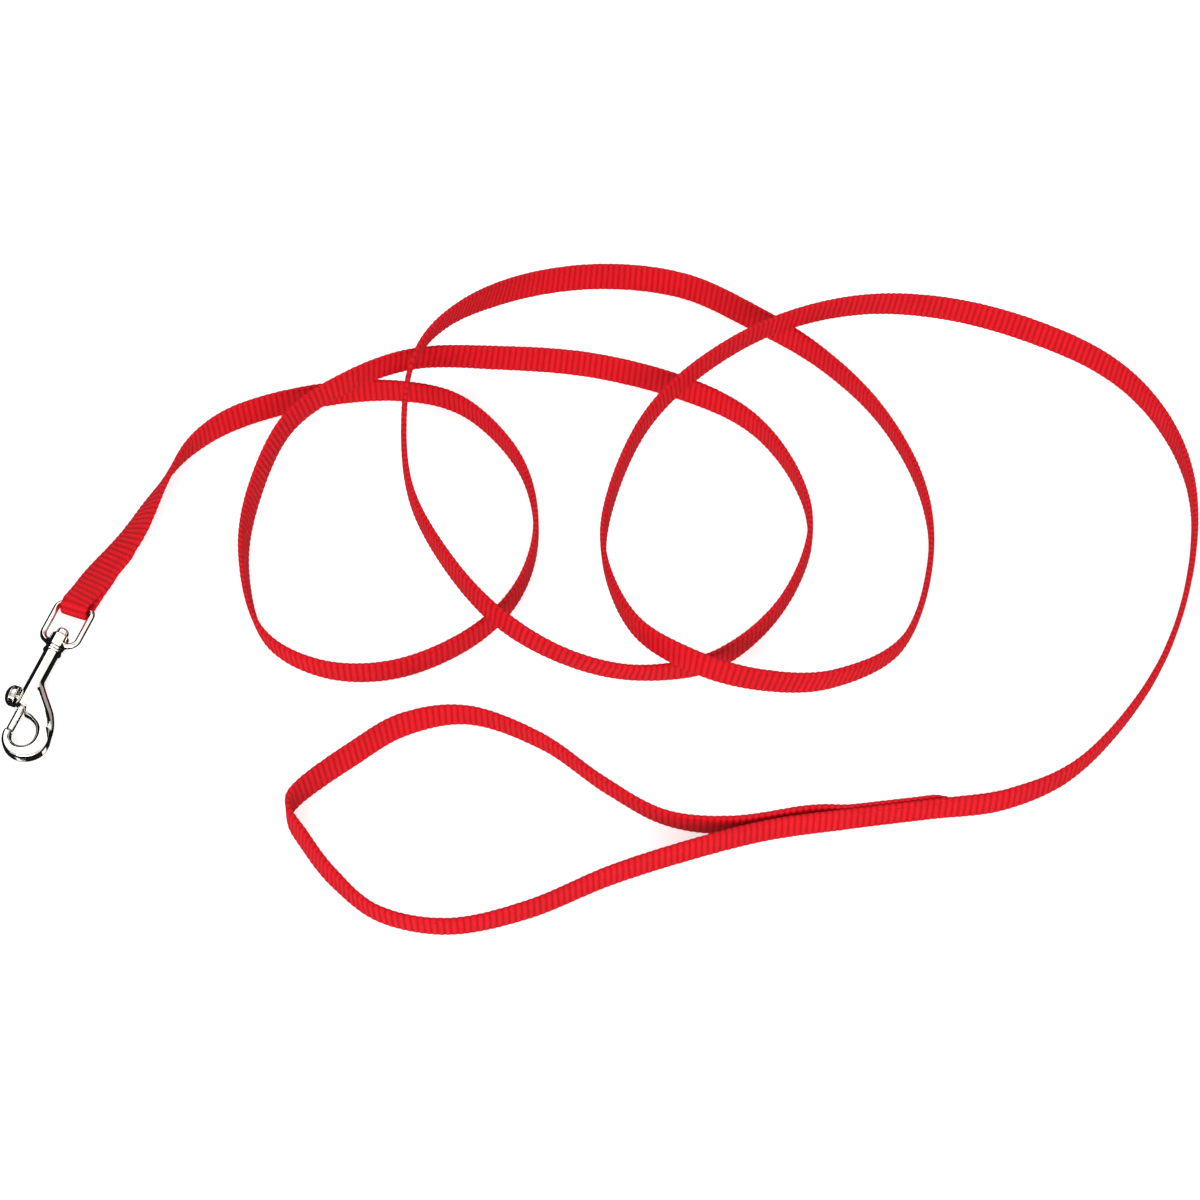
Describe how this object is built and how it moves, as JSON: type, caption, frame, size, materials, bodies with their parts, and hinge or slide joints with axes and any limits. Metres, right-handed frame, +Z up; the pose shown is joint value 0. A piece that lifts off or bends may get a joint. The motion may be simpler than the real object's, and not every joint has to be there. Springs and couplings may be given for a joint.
{
  "type": "training leash",
  "caption": "Long flat-webbing training leash with a sewn hand loop at one end and a swivel bolt snap at the other, laid out in loose loops.",
  "frame": {"origin": "on the floor that the leash lies on, under the middle of the swivel snap", "axes": "+Z up; +Y along the snap from its hook towards the webbing; +X towards the belly of the hook"},
  "size_m": [0.3044, 0.2515, 0.0282],
  "materials": {
    "webbing": "ribbed woven nylon, slight sheen",
    "thread": "twisted bonded nylon thread",
    "nickel_plate": "bright nickel plate on a zinc casting",
    "bolt_steel": "polished, nickel plated",
    "spring_steel": "bare drawn wire"
  },
  "bodies": {
    "leash": {"webbing": "webbing", "handle_stitching": "thread", "snap_stitching": "thread"},
    "eye": {"swivel_eye": "nickel_plate"},
    "hook": {"hook_body": "nickel_plate", "swivel_rivet": "nickel_plate", "bolt_spring": "spring_steel"},
    "bolt": {"bolt": "bolt_steel", "thumb_stud": "nickel_plate"}
  },
  "joints": [
    {"name": "eye_tilt", "type": "hinge", "parent": "leash", "child": "eye", "pos_m": [-0.0031, 0.0252, 0.0031], "axis": [1, 0, 0], "range_deg": [-90, 90]},
    {"name": "hook_swivel", "type": "hinge", "parent": "eye", "child": "hook", "pos_m": [-0.0031, 0.0102, 0.0031], "axis": [0, 1, 0], "continuous": true},
    {"name": "bolt_slide", "type": "slide", "parent": "hook", "child": "bolt", "axis": [0, 1, 0], "range_m": [0, 0.0072], "stiffness_N_per_m": 250, "springref_m": -0.006, "deforming": ["bolt_spring"]}
  ]
}
